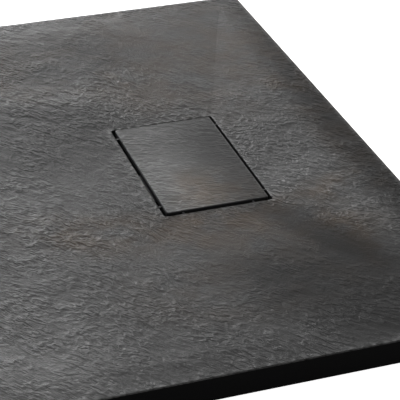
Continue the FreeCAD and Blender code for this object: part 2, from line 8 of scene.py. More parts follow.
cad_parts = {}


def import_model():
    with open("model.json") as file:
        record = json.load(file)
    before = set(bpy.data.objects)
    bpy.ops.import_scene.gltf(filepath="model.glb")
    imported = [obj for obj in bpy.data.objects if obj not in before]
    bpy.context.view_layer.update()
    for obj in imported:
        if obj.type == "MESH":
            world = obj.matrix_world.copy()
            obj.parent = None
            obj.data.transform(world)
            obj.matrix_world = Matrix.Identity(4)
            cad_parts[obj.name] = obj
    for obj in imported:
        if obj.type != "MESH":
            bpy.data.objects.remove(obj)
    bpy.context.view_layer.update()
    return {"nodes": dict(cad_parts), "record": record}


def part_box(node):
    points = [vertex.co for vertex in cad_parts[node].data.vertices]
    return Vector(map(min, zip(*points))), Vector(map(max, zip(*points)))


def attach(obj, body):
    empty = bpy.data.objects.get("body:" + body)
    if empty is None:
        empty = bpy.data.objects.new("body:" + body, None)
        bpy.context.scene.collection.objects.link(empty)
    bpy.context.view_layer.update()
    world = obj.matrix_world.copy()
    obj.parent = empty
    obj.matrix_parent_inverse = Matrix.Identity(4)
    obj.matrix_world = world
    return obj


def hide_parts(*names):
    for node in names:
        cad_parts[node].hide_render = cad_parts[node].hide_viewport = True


# A low slate-effect shower tray with its lift-out cover and the waste trap below it.
# Metres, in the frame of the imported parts.

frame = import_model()
nodes = frame["nodes"]


# --- Sizes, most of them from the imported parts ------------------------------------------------
def corners(node):
    """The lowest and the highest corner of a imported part."""
    return [Vector(corner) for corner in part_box(node)]


def rectangle(low, high, wider):
    """Centre and half sizes of the upright rectangle round two corners, with wider added all round."""
    middle, half = (low + high) / 2, (high - low) / 2
    return middle.x, middle.y, half.x + wider, half.y + wider


EDGE_BAND = 0.002  # strip along the tray's outer walls that holds their bevel
RIM_DEPTH = 0.006  # how far down a bevel still belongs to the tray's rim
OPENING_INSET = 0.010  # from the tray's outer walls to the opening below it
LUG_LENGTH = 0.0036  # how far the lugs stand out from the cover's edge
LUG_TO_RECESS = 0.0006  # from the end of a lug to just past the recess's wall
COVER_PROUD = 0.002  # the cover's top above the edge of the recess
WEAR_PAST_EDGE = 0.001  # the cover's wear and relief are measured from this far outside its edge
SPARE = 0.0005  # how far below a face the level that tells it from others is taken

TRAY_LOW, TRAY_HIGH = corners("tray_shell")
COVER_LOW, COVER_HIGH = corners("drain_cover")
TRAY_OUTLINE = rectangle(TRAY_LOW, TRAY_HIGH, -EDGE_BAND)
RECESS_OUTLINE = rectangle(COVER_LOW, COVER_HIGH, LUG_TO_RECESS)
COVER_OUTLINE = rectangle(COVER_LOW, COVER_HIGH, WEAR_PAST_EDGE - LUG_LENGTH)
RECESS_FLOOR = corners("cover_pad_left_front")[0].z  # which the pads stand on

# --- The cleft of the two slate faces ---------------------------------------------------------
# turn: the way it runs, from the long side. step: width of the mesh strips that lie across it and
# along it. depth: the deepest cut. size and seed: of the pattern.
TRAY_CLEFT = {
    "turn": math.radians(-54),
    "step": (0.0068, 0.0018),
    "depth": 0.0012,
    "size": 1.0,
    "seed": 1.0,
}
COVER_CLEFT = {
    "turn": math.radians(-25),
    "step": (0.0036, 0.0012),
    "depth": 0.0006,
    "size": 0.8,
    "seed": 7.0,
}
EDGE_WEAR = 0.003  # width of the rubbed, lighter edges
EDGE_FADE = 0.006  # the relief runs out over this width, so that edges stay crisp
EDGE_FADE_PAST = 0.0012  # counted from this far past the edge, which leaves a trace of it there
GRAIN_STRETCH = 3.0  # length of the fine ripples over their width
ZONES = "split_zones"  # where a slate face is smooth, where it carries painted shade and painted light, where it is tinted and where it is rubbed
OVAL_FADE = (0.4, 1.3)  # an oval is full up to this share of its size and gone at that one

# Ovals as centre x, centre y, half length, half width, turn in degrees, strength: where a face is
# split smooth, where painted shade darkens it, or painted light lightens it below zero, and where it is
# tinted by earth.
TRAY_ZONES = {
    "smooth": (
        (0.50, 0.27, 0.15, 0.13, 90, 1.0),
        (0.35, 0.33, 0.14, 0.08, 0, 0.5),
        (0.275, 0.0, 0.11, 0.045, 90, 0.75),
        (0.35, -0.165, 0.12, 0.05, 0, 0.85),
        (0.49, -0.195, 0.10, 0.03, -63, 0.8),
        (0.43, -0.25, 0.12, 0.08, 0, 0.4),
        (-0.32, 0.22, 0.16, 0.10, 0, 0.8),
        (-0.10, -0.12, 0.12, 0.07, -20, 0.7),
        (-0.45, -0.25, 0.10, 0.09, 0, 0.6),
    ),
    # painted shade where the strength is above zero and painted light where it is below: the darker valley,
    # the darker right rim and the lighter places stand for how light falls
    "painted_shading": (
        (0.478, -0.178, 0.10, 0.026, -63, 0.6),
        (0.465, -0.29, 0.13, 0.09, -40, 0.72),
        (0.605, 0.0, 0.42, 0.05, 90, 0.8),
        (0.25, 0.10, 0.13, 0.10, 0, 0.42),
        (0.32, 0.29, 0.14, 0.08, 0, 0.38),
        (0.07, -0.38, 0.20, 0.13, 20, -0.4),
        (0.505, -0.07, 0.06, 0.055, 0, -0.4),
        (0.55, -0.165, 0.07, 0.03, -63, -0.25),
        (-0.20, 0.05, 0.16, 0.10, 15, 0.2),
        (-0.50, 0.10, 0.14, 0.10, 90, 0.25),
        (-0.35, -0.22, 0.16, 0.10, -25, -0.2),
    ),
    "earthy": (
        (0.48, 0.26, 0.18, 0.16, 90, 0.8),
        (0.42, -0.15, 0.13, 0.05, -15, 1.0),
        (0.485, -0.18, 0.10, 0.03, -63, 1.0),
        (0.59, 0.08, 0.26, 0.04, 90, 0.8),
        (0.27, -0.12, 0.11, 0.05, -20, 0.8),
        (0.53, -0.11, 0.07, 0.03, 0, 0.7),
        (0.22, 0.27, 0.18, 0.10, 0, 0.6),
        (0.40, -0.25, 0.16, 0.08, 0, 0.5),
        (-0.25, 0.20, 0.20, 0.12, 0, 0.7),
        (-0.45, -0.20, 0.14, 0.10, 0, 0.6),
    ),
}
COVER_ZONES = {
    "smooth": ((0.42, 0.0, 0.12, 0.06, 90, 0.6),),
    # the cover's zones of painted shade: painted shade towards its right, painted light at its front left
    "painted_shading": ((0.46, -0.03, 0.16, 0.07, 90, 0.55), (0.39, -0.045, 0.09, 0.06, 90, -0.35)),
    "earthy": ((0.41, -0.06, 0.06, 0.05, 0, 0.6),),
}


# --- Node helpers -----------------------------------------------------------------------------
NUMBER, VECTOR, COLOUR = "NodeSocketFloat", "NodeSocketVector", "NodeSocketColor"


def new_material(name):
    material = bpy.data.materials.new(name)
    material.use_nodes = True
    tree = material.node_tree
    tree.nodes.clear()
    output = tree.nodes.new("ShaderNodeOutputMaterial")
    shader = tree.nodes.new("ShaderNodeBsdfPrincipled")
    tree.links.new(shader.outputs[0], output.inputs["Surface"])
    return material, tree, shader


def new_group(name, inputs, outputs):
    """A node group with named sockets, what it is given and where its results go."""
    group = bpy.data.node_groups.new(name, "ShaderNodeTree")
    for label, kind, start in inputs:
        socket = group.interface.new_socket(label, in_out="INPUT", socket_type=kind)
        if start is not None:
            socket.default_value = start
    for label, kind in outputs:
        group.interface.new_socket(label, in_out="OUTPUT", socket_type=kind)
    return group, group.nodes.new("NodeGroupInput").outputs, group.nodes.new("NodeGroupOutput").inputs


def wire(tree, value, socket):
    """Links a socket to a socket, or sets it to a plain value."""
    if isinstance(value, bpy.types.NodeSocket):
        tree.links.new(value, socket)
    else:
        socket.default_value = value


def add(tree, kind, **settings):
    """A node with its properties and, by name, its inputs."""
    node = tree.nodes.new(kind)
    for key, value in settings.items():
        if hasattr(node, key):
            setattr(node, key, value)
        else:
            wire(tree, value, node.inputs[key.replace("_", " ")])
    return node


def calc(tree, operation, *values):
    """Arithmetic on numbers."""
    node = add(tree, "ShaderNodeMath", operation=operation)
    for value, socket in zip(values, node.inputs):
        wire(tree, value, socket)
    return node.outputs[0]


def total(tree, start, *pairs):
    """A start value with other values added to it, each times its weight."""
    for value, weight in pairs:
        start = calc(tree, "MULTIPLY_ADD", value, weight, start)
    return start


def vector_calc(tree, operation, *values):
    """Arithmetic on vectors."""
    node = add(tree, "ShaderNodeVectorMath", operation=operation)
    sockets = [s for s in node.inputs if s.enabled]
    for value, socket in zip(values, sockets):
        wire(tree, value, socket)
    return node.outputs[0]


def spread(tree, value, low, high, to_low=0.0, to_high=1.0):
    """Maps a value smoothly from one range to another."""
    node = add(tree, "ShaderNodeMapRange", interpolation_type="SMOOTHSTEP")
    for given, name in ((value, "Value"), (low, "From Min"), (high, "From Max"),
                        (to_low, "To Min"), (to_high, "To Max")):
        wire(tree, given, node.inputs[name])
    return node.outputs[0]


def grained(tree, vector, scale, detail=2.0, roughness=0.5, output="Fac"):
    """Soft noise with scale repeats per metre of the vector."""
    node = add(tree, "ShaderNodeTexNoise", Scale=scale, Detail=detail, Roughness=roughness)
    wire(tree, vector, node.inputs["Vector"])
    return node.outputs[output]


def mixed(tree, share, first, second, blend_type="MIX"):
    """Two colours mixed, through the sockets that a Mix node has for colours."""
    node = add(tree, "ShaderNodeMix", data_type="RGBA", blend_type=blend_type)
    wire(tree, share, node.inputs[0])
    wire(tree, first, node.inputs[6])
    wire(tree, second, node.inputs[7])
    return node.outputs[2]


def bumped(tree, shader, height, strength, distance):
    bump = add(tree, "ShaderNodeBump", Strength=strength, Distance=distance)
    wire(tree, height, bump.inputs["Height"])
    tree.links.new(bump.outputs[0], shader.inputs["Normal"])


def grouped(tree, group, **inputs):
    """A group placed in a material, with its inputs by name."""
    node = tree.nodes.new("ShaderNodeGroup")
    node.node_tree = group
    for key, value in inputs.items():
        wire(tree, value, node.inputs[key.replace("_", " ")])
    return node.outputs


def either(tree, share, first, second):
    """A shader that runs from the first to the second as share runs from 0 to 1."""
    node = add(tree, "ShaderNodeMixShader")
    for value, socket in zip((share, first, second), node.inputs):
        wire(tree, value, socket)
    return node.outputs[0]


def seen_rays(tree):
    """1 for what the camera sees, straight, mirrored or through glass."""
    path = add(tree, "ShaderNodeLightPath").outputs
    straight_or_mirrored = calc(tree, "MAXIMUM", path["Is Camera Ray"], path["Is Glossy Ray"])
    return calc(tree, "MAXIMUM", straight_or_mirrored, path["Is Transmission Ray"])


# --- Mesh helpers -----------------------------------------------------------------------------
MERGE = 1e-6  # points closer than this are one
CUT_MARGIN = 1e-7  # a cut leaves points closer than this where they are


def new_object(name, bm):
    """Turns a bmesh into an object at the origin."""
    mesh = bpy.data.meshes.new(name)
    bm.to_mesh(mesh)
    bm.free()
    obj = bpy.data.objects.new(name, mesh)
    bpy.context.scene.collection.objects.link(obj)
    return obj


def with_edges(faces):
    """Faces together with their edges and points."""
    geometry = set(faces)
    for f in faces:
        geometry.update(f.verts)
        geometry.update(f.edges)
    return list(geometry)


def blend(low, high, value):
    """0 below low, 1 above high, smooth between."""
    share = min(1.0, max(0.0, (value - low) / (high - low)))
    return share * share * (3 - 2 * share)


# --- Camera, floor and light ------------------------------------------------------------------
PICTURE_WIDTH = 400  # pixels
FOCAL_LENGTH = 1651  # in the same pixels
SENSOR_WIDTH = 36.0  # millimetres
FAR_CLIP = 50
FLOOR_HALF = 20
FLOOR_GREY = 0.85
FLOOR_MATT = 0.9
FLOOR_LIFT = 0.8  # what the seen floor glows, to reach white
WORLD_LIGHT = 0.12  # the world's light on the object, where 1 is white
LAMPS = (  # name, place, target, size, power
    ("window_back", (0.18, 1.6, 0.48), (0.3, 0.0, 0.0), (1.2, 0.25), 16),
    ("window_right", (1.15, 1.55, 0.5), (0.45, 0.0, 0.0), (0.5, 0.25), 2),
    ("soft_top", (0.1, 0.2, 2.4), (0.2, 0.0, 0.0), (2.5, 2.5), 52),
)


def look(place, yaw, pitch, roll):
    """The camera looks along +Y, turned to the right by yaw, down by pitch, then rolled, in degrees."""
    data = bpy.data.cameras.new("camera")
    data.sensor_width = SENSOR_WIDTH
    data.lens = FOCAL_LENGTH / PICTURE_WIDTH * SENSOR_WIDTH
    data.clip_end = FAR_CLIP
    camera = bpy.data.objects.new("camera", data)
    bpy.context.scene.collection.objects.link(camera)
    yaw, pitch, roll = (math.radians(angle) for angle in (yaw, pitch, roll))
    forward = Vector((math.sin(yaw) * math.cos(pitch), math.cos(yaw) * math.cos(pitch), -math.sin(pitch)))
    level = Vector((math.cos(yaw), -math.sin(yaw), 0))
    upright = level.cross(forward)
    right = level * math.cos(roll) + upright * math.sin(roll)
    up = right.cross(forward)
    turn = Matrix((right, up, -forward)).transposed()
    camera.matrix_world = Matrix.Translation(Vector(place)) @ turn.to_4x4()
    bpy.context.scene.camera = camera


def floor():
    """A floor that is white wherever it is seen, but for the tray's shadow."""
    bm = bmesh.new()
    bmesh.ops.create_grid(bm, x_segments=1, y_segments=1, size=FLOOR_HALF)
    # the drain hangs in an opening of the floor, which the tray covers
    for axis, half in ((Vector((1, 0, 0)), TRAY_HIGH.x), (Vector((0, 1, 0)), TRAY_HIGH.y)):
        for side in (axis, -axis):
            place = side * (half - OPENING_INSET)
            geometry = with_edges(bm.faces)
            bmesh.ops.bisect_plane(bm, geom=geometry, dist=MERGE, plane_co=place, plane_no=side)
    covered = min(bm.faces, key=lambda f: f.calc_center_median().length)
    bmesh.ops.delete(bm, geom=[covered], context="FACES")
    obj = new_object("floor", bm)
    material, tree, shader = new_material("floor_white")
    shader.inputs["Base Color"].default_value = (FLOOR_GREY, FLOOR_GREY, FLOOR_GREY, 1)
    shader.inputs["Roughness"].default_value = FLOOR_MATT
    shader.inputs["Specular IOR Level"].default_value = 0.0
    # seen by the camera and in reflections, the floor is lifted to white, and still takes a shadow
    lifted = add(tree, "ShaderNodeAddShader")
    tree.links.new(shader.outputs[0], lifted.inputs[0])
    tree.links.new(add(tree, "ShaderNodeEmission", Strength=FLOOR_LIFT).outputs[0], lifted.inputs[1])
    above = either(tree, seen_rays(tree), shader.outputs[0], lifted.outputs[0])
    # from below the floor lets the underside of the tray be seen
    back = add(tree, "ShaderNodeNewGeometry").outputs["Backfacing"]
    clear = add(tree, "ShaderNodeBsdfTransparent").outputs[0]
    tree.links.new(either(tree, back, above, clear), tree.nodes["Material Output"].inputs["Surface"])
    obj.data.materials.append(material)


def world():
    """A little light from all round, and white where the world itself is seen."""
    studio = bpy.data.worlds.new("studio")
    bpy.context.scene.world = studio
    studio.use_nodes = True
    tree = studio.node_tree
    tree.nodes.clear()
    soft, white = (
        add(tree, "ShaderNodeBackground", Color=(1, 1, 1, 1), Strength=strength).outputs[0]
        for strength in (WORLD_LIGHT, 1.0)
    )
    output = add(tree, "ShaderNodeOutputWorld")
    tree.links.new(either(tree, seen_rays(tree), soft, white), output.inputs["Surface"])


def area_light(name, place, target, size, power):
    data = bpy.data.lights.new(name, "AREA")
    data.shape = "RECTANGLE"
    data.size, data.size_y = size
    data.energy = power
    light = bpy.data.objects.new(name, data)
    light.location = place
    light.visible_camera = False
    light.rotation_euler = (Vector(target) - Vector(place)).to_track_quat("-Z", "Y").to_euler()
    bpy.context.scene.collection.objects.link(light)


look(place=(-0.121, -1.525, 0.913), yaw=19.32, pitch=30.41, roll=0.71)
floor()
world()
for lamp in LAMPS:
    area_light(*lamp)


# --- Slate relief -----------------------------------------------------------------------------
BEND_RATE, BEND_REACH = 4.5, 0.035  # slow bends per metre, and how far they push the cleft aside
SWAY_RATE = 16  # quicker sways per metre
LAYER_RATE, LAYER_SWAY = (9, 22), 0.6  # changes of layer per metre, along and across the cleft
LAYER_COUNT = 3
LAYER_NOISE = (0.9, 2.1, 3)  # how fast its octaves fade, how much finer each is, how many there are
LAYER_STEP = (0.55, 0.98)  # the part of a layer's width in which the next one begins
RIDGE_RATE, RIDGE_SWAY = (30, 84), 1.5  # ridges per metre, along and across the cleft
LAYER_SHARE, RIDGE_SHARE = 0.42, 0.60  # of the whole relief
TOP_LEVEL = 0.75  # relief above this is split off flat
SMOOTH_CALM = 0.8  # what a smooth place takes from the ridges
BEND_SEEDS, LAYER_SEED, RIDGE_SEED = (3.0, 5.0), 9.0, 21.0  # added to a face's own seed


def spots_at(x, y, spots):
    """The sum of some soft-edged, turned ovals at a place, from -1 to 1."""
    value = 0.0
    for centre_x, centre_y, long_half, short_half, turn, strength in spots:
        turn = math.radians(turn)
        over_x, over_y = x - centre_x, y - centre_y
        along = over_x * math.cos(turn) + over_y * math.sin(turn)
        across = over_y * math.cos(turn) - over_x * math.sin(turn)
        value += strength * (1 - blend(*OVAL_FADE, math.hypot(along / long_half, across / short_half)))
    return min(1.0, max(-1.0, value))


def relief(x, y, cleft, smooth):
    """Depth of the slate's split face below its highest points, from 0 to 1."""
    turn, size, seed = cleft["turn"], cleft["size"], cleft["seed"]
    bend_x, bend_y = (
        noise.noise(Vector((x * BEND_RATE, y * BEND_RATE, seed + more))) * BEND_REACH
        for more in BEND_SEEDS
    )
    x, y = (x + bend_x) / size, (y + bend_y) / size
    along = x * math.cos(turn) + y * math.sin(turn)
    across = -x * math.sin(turn) + y * math.cos(turn)
    sway = noise.noise(Vector((along * SWAY_RATE, across * SWAY_RATE, seed)))
    place = Vector((along * LAYER_RATE[0], across * LAYER_RATE[1] + sway * LAYER_SWAY, seed + LAYER_SEED))
    layers = noise.fractal(place, *LAYER_NOISE) * LAYER_COUNT
    level = math.floor(layers)
    layers = (level + blend(*LAYER_STEP, layers - level)) / LAYER_COUNT
    place = Vector((along * RIDGE_RATE[0], across * RIDGE_RATE[1] + sway * RIDGE_SWAY, seed + RIDGE_SEED))
    ridge = max(0.0, 1 - abs(noise.noise(place)) * 2) ** 2
    height = LAYER_SHARE * layers + (1 - SMOOTH_CALM * smooth) * RIDGE_SHARE * ridge
    return min(1.0, max(0.0, TOP_LEVEL - height))


# --- Slate faces ------------------------------------------------------------------------------
UPWARDS = 0.95  # least upward part of the normal of an upper face
BEVEL_UPWARDS = 0.5  # and of a bevel
LEVEL = 0.99  # and of a level face
FLAT_ANGLE = 0.0004  # faces that meet at less than this angle are one plane


def to_edge(x, y, outline):
    """How far a place is from the nearest edge of an upright rectangle."""
    centre_x, centre_y, half_x, half_y = outline
    over_x, over_y = abs(x - centre_x) - half_x, abs(y - centre_y) - half_y
    if over_x < 0 and over_y < 0:
        return -max(over_x, over_y)
    return math.hypot(max(over_x, 0), max(over_y, 0))


def within(place, outline):
    """Whether a place lies over an upright rectangle."""
    centre_x, centre_y, half_x, half_y = outline
    return abs(place.x - centre_x) <= half_x and abs(place.y - centre_y) <= half_y


def tray_finish(place):
    """The tray's finish away from the slate: 1 on the outer walls, 2 on the underside, 3 in the recess."""
    if not within(place, TRAY_OUTLINE):
        return 1
    return 3 if within(place, RECESS_OUTLINE) and place.z > RECESS_FLOOR - SPARE else 2


def cover_finish(place):
    """The cover has one finish away from the slate."""
    return 1


def on_rim(place):
    """Whether a place lies on the bevel round the tray's outer edge."""
    return place.z > TRAY_HIGH.z - RIM_DEPTH and not within(place, TRAY_OUTLINE)


def merged_copy(node):
    """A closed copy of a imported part's mesh."""
    bm = bmesh.new()
    bm.from_mesh(nodes[node].data)
    for layer in list(bm.loops.layers.uv):
        bm.loops.layers.uv.remove(layer)
    bmesh.ops.remove_doubles(bm, verts=bm.verts, dist=MERGE)
    return bm


def score(bm, faces, direction, step):
    """Cuts the faces into strips that lie across a direction, a step wide."""
    heights = [direction.dot(v.co) for f in faces for v in f.verts]
    low, high = min(heights), max(heights)
    count = int((high - low) / step)
    start = (high - low - count * step) / 2
    ahead = set(faces)
    done = set()
    for i in range(count + 1):
        place = low + start + i * step
        crossed, beyond = [], set()
        for f in ahead:
            spans = [direction.dot(v.co) for v in f.verts]
            if max(spans) <= place + CUT_MARGIN:
                done.add(f)
            elif min(spans) >= place - CUT_MARGIN:
                beyond.add(f)
            else:
                crossed.append(f)
        if crossed:
            result = bmesh.ops.bisect_plane(
                bm, geom=with_edges(crossed), dist=CUT_MARGIN,
                plane_co=direction * place, plane_no=direction,
            )
            beyond.update(g for g in result["geom"] if isinstance(g, bmesh.types.BMFace))
        ahead = beyond
    return done | ahead


def slate_face(node, name, cleft, spots, outlines, lowest, finish_at):
    """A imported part's copy whose upper faces, above lowest, are split and lowered like cleft slate."""
    bm = merged_copy(node)

    def upper_faces():
        bm.normal_update()
        return {f for f in bm.faces if f.normal.z > UPWARDS and f.calc_center_median().z > lowest}

    top = upper_faces()
    inner = [e for e in bm.edges if len(e.link_faces) == 2 and all(f in top for f in e.link_faces)]
    bmesh.ops.dissolve_limit(
        bm, angle_limit=FLAT_ANGLE, use_dissolve_boundaries=False, verts=[], edges=inner, delimit={"NORMAL"}
    )
    along = Vector((math.cos(cleft["turn"]), math.sin(cleft["turn"]), 0))
    across = Vector((-along.y, along.x, 0))
    step_along, step_across = cleft["step"]
    top = score(bm, upper_faces(), across, step_across)
    top = score(bm, top, along, step_along)
    bevels = [f for f in bm.faces if f not in top and f.normal.z > BEVEL_UPWARDS]
    rim = {f for f in bevels if on_rim(f.calc_center_median())}
    zones = bm.verts.layers.float_color.new(ZONES)
    for v in {v for f in top for v in f.verts}:
        x, y = v.co.x, v.co.y
        # the second of these is painted shade, and painted light below zero
        smooth, painted_shading, earthy = (spots_at(x, y, spots[kind]) for kind in ("smooth", "painted_shading", "earthy"))
        reach = min(to_edge(x, y, outline) for outline in outlines)
        v[zones] = (smooth, painted_shading, earthy, 1 - blend(0, EDGE_WEAR, reach))
        fade = blend(-EDGE_FADE_PAST, EDGE_FADE, reach)
        v.co.z -= relief(x, y, cleft, smooth) * cleft["depth"] * fade
    for f in bm.faces:
        f.smooth = f in top
        f.material_index = 0 if f in top or f in rim else finish_at(f.calc_center_median())
    bm.normal_update()
    obj = new_object(name, bm)
    if "custom_normal" in obj.data.attributes:
        obj.data.attributes.remove(obj.data.attributes["custom_normal"])
    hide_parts(node)
    return obj


tray = slate_face(
    "tray_shell", "slate_tray", TRAY_CLEFT, TRAY_ZONES, (TRAY_OUTLINE, RECESS_OUTLINE),
    COVER_HIGH.z - COVER_PROUD - SPARE, tray_finish,
)
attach(tray, "tray")
cover = slate_face(
    "drain_cover", "slate_cover", COVER_CLEFT, COVER_ZONES, (COVER_OUTLINE,),
    COVER_HIGH.z - SPARE, cover_finish,
)
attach(cover, "cover")


# --- Flange screws ----------------------------------------------------------------------------
SCREW_HEAD = 0.0035  # radius, as are the next two
SCREW_SHANK = 0.0020
SCREW_ROOT = 0.0015
HEAD_EDGE = 0.0002  # bevel of the head's edge
HEAD_DEPTH = 0.0015
NECK_DEPTH = 0.0030
THREAD_TOP = 0.0055  # the last turn of the thread begins below this depth
THREAD_PITCH = 0.0014
POINT_LENGTH = 0.0008
POINT_SHARE = 0.6  # radius of the blunt point over the root's
THREAD_START = 0.0014  # above the point
SCREW_SIDES = 20
CROSS_HALF = 0.0005
CROSS_REACH = 0.0021
CROSS_DEPTH = 0.0014
CROSS_TAPER = 0.45  # the cross at its bottom over the cross at the top
SCREW_TURNS = (0.2, 0.9, 1.3, 0.55)  # the way each cross has stopped


def screw_profile(length):
    """Radius and height of the points down a screw's side, with the top of its head at height 0."""
    profile = [(0.0, -length), (SCREW_ROOT * POINT_SHARE, -length + POINT_LENGTH)]
    height = -length + THREAD_START
    while height < -THREAD_TOP:
        profile += [(SCREW_ROOT, height), (SCREW_SHANK, height + THREAD_PITCH / 2)]
        height += THREAD_PITCH
    profile += [(SCREW_ROOT, height), (SCREW_ROOT, -NECK_DEPTH), (SCREW_SHANK, -HEAD_DEPTH)]
    return profile + [(SCREW_HEAD, -HEAD_EDGE), (SCREW_HEAD - HEAD_EDGE, 0.0)]


def head_faces(bm):
    """The level faces on top of a screw's head."""
    return [f for f in bm.faces if f.normal.z > LEVEL and abs(f.calc_center_median().z) < MERGE]


def cross_screw(name, node, turn):
    """A countersunk screw with a thread and a cross recess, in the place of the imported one."""
    low, high = corners(node)
    middle = (low + high) / 2
    bm = bmesh.new()
    points = [bm.verts.new((radius, 0, z)) for radius, z in screw_profile(high.z - low.z)]
    for pair in zip(points, points[1:]):
        bm.edges.new(pair)
    bmesh.ops.spin(
        bm, geom=list(bm.verts) + list(bm.edges), axis=(0, 0, 1), cent=(0, 0, 0), angle=math.tau,
        steps=SCREW_SIDES, use_merge=True,
    )
    bmesh.ops.remove_doubles(bm, verts=bm.verts, dist=MERGE)
    bmesh.ops.holes_fill(bm, edges=[e for e in bm.edges if e.is_boundary])
    bmesh.ops.recalc_face_normals(bm, faces=bm.faces)
    for axis in (Vector((1, 0, 0)), Vector((0, 1, 0))):
        for reach in (CROSS_HALF, -CROSS_HALF, CROSS_REACH, -CROSS_REACH):
            geometry = with_edges(head_faces(bm))
            bmesh.ops.bisect_plane(bm, geom=geometry, dist=CUT_MARGIN, plane_co=axis * reach, plane_no=axis)
            bm.normal_update()
    cross = []
    for f in head_faces(bm):
        near, far = sorted(abs(c) for c in f.calc_center_median()[:2])
        if near < CROSS_HALF and far < CROSS_REACH:
            cross.append(f)
    sunk = bmesh.ops.extrude_face_region(bm, geom=cross)["geom"]
    bmesh.ops.delete(bm, geom=cross, context="FACES_ONLY")
    bottom = [g for g in sunk if isinstance(g, bmesh.types.BMVert)]
    bmesh.ops.scale(bm, vec=(CROSS_TAPER, CROSS_TAPER, 1), verts=bottom)
    bmesh.ops.translate(bm, vec=(0, 0, -CROSS_DEPTH), verts=bottom)
    bmesh.ops.rotate(bm, cent=(0, 0, 0), matrix=Matrix.Rotation(turn, 3, "Z"), verts=bm.verts)
    bmesh.ops.translate(bm, vec=(middle.x, middle.y, high.z), verts=bm.verts)
    bmesh.ops.recalc_face_normals(bm, faces=bm.faces)
    obj = new_object(name, bm)
    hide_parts(node)
    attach(obj, "tray")
    return obj


screws = [
    cross_screw("cross_screw_" + str(number), "flange_screw_" + str(number), turn)
    for number, turn in enumerate(SCREW_TURNS, 1)
]


# --- Shared effects ---------------------------------------------------------------------------
# repeats per metre of the patterns, on slate, on mouldings and on metal
SLOW_BENDS, QUICK_BENDS = 4.5, 60.0
SWELLS, LINES, PITS = 140.0, 105.0, 330.0
PATCHES, CLOUDS, SPECKS = 14.0, 9.0, 750.0
STAINS, CHIPS = 22.0, 160.0
FLOW_MARKS, SCRATCHES = 16.0, 520.0
BRUSH_LINES, WATER_DROPS = 2600.0, 130.0
SLOW_REACH, QUICK_REACH = 0.07, 0.005  # how far the bends push the ripples aside
NOISE_MIDDLE = 0.5
LINE_WIDTH, LINE_POWER = 0.16, 1.6  # how wide and how sharp the ripples' crest lines are
PATCH_CALM = 0.25  # what the calmest patches keep of the ripples
RIPPLE_CALM = 0.75  # what a smooth place takes from the ripples
PAINTED_SHADE_SHARE = 0.2  # what the deepest painted shade keeps of the colour; below zero the same power paints light
PAINTED_SHADE_MATT = 0.25  # how much more matt the places of painted shade are
EARTH = (1.0, 0.66, 0.38, 1)  # multiplies the colour where earth tints it
SCRATCH_TURN = (0.4, 0.7, 1.1)
SCRATCH_STRETCH = 14  # length of the scratches over their width
MARK_LEVEL, MARK_WIDTH = 0.56, 0.02  # where in the noise a water mark's outline lies, and its width


def slate_ripples():
    """Short wavy ripples of split slate, with the crests that are lighter partly from wear and partly as
    painted highlight.
    """
    group, given, result = new_group(
        "slate_ripples",
        (("Vector", VECTOR, None), ("Size", NUMBER, 1.0), ("Smooth", NUMBER, 0.0), ("Turn", NUMBER, 0.0)),
        (("Height", NUMBER), ("Crest", NUMBER), ("Cloud", NUMBER), ("Speck", NUMBER)),
    )
    middle = (NOISE_MIDDLE, NOISE_MIDDLE, NOISE_MIDDLE)
    place = vector_calc(group, "SCALE", given["Vector"], calc(group, "DIVIDE", 1.0, given["Size"]))
    slow = vector_calc(group, "SUBTRACT", grained(group, place, SLOW_BENDS, 1.0, output="Color"), middle)
    bent = vector_calc(group, "ADD", place, vector_calc(group, "SCALE", slow, SLOW_REACH))
    quick = vector_calc(group, "SUBTRACT", grained(group, bent, QUICK_BENDS, 2.0, output="Color"), middle)
    wavy = vector_calc(group, "ADD", bent, vector_calc(group, "SCALE", quick, QUICK_REACH))
    turn = add(group, "ShaderNodeCombineXYZ", Z=given["Turn"])
    stretch = add(group, "ShaderNodeMapping", vector_type="TEXTURE", Vector=wavy, Rotation=turn.outputs[0])
    stretch.inputs["Scale"].default_value = (GRAIN_STRETCH, 1, 1)
    stretched = stretch.outputs[0]
    swell = grained(group, stretched, SWELLS, 3.0, 0.6)
    line = grained(group, stretched, LINES, 2.0, 0.5)
    away = calc(group, "ABSOLUTE", calc(group, "SUBTRACT", line, NOISE_MIDDLE))
    ridge = calc(group, "POWER", spread(group, away, 0.0, LINE_WIDTH, to_low=1.0, to_high=0.0), LINE_POWER)
    pits = grained(group, wavy, PITS, 2.0, 0.6)
    patch = spread(group, grained(group, place, PATCHES, 3.0, 0.6), 0.35, 0.62, to_low=PATCH_CALM)
    rough = total(group, 1.0, (given["Smooth"], -RIPPLE_CALM))
    lively = calc(group, "MULTIPLY", patch, rough)
    waves = calc(group, "MULTIPLY", total(group, 0.0, (ridge, 0.45), (swell, 0.9)), lively)
    wire(group, total(group, waves, (pits, 0.22)), result["Height"])
    # the crest mask lightens the colour, partly as wear and partly as painted highlight
    crest = calc(group, "MULTIPLY", spread(group, calc(group, "ADD", ridge, swell), 0.6, 1.6), lively)
    wire(group, crest, result["Crest"])
    wire(group, grained(group, place, CLOUDS, 5.0, 0.6), result["Cloud"])
    wire(group, grained(group, place, SPECKS, 3.0, 0.7), result["Speck"])
    return group


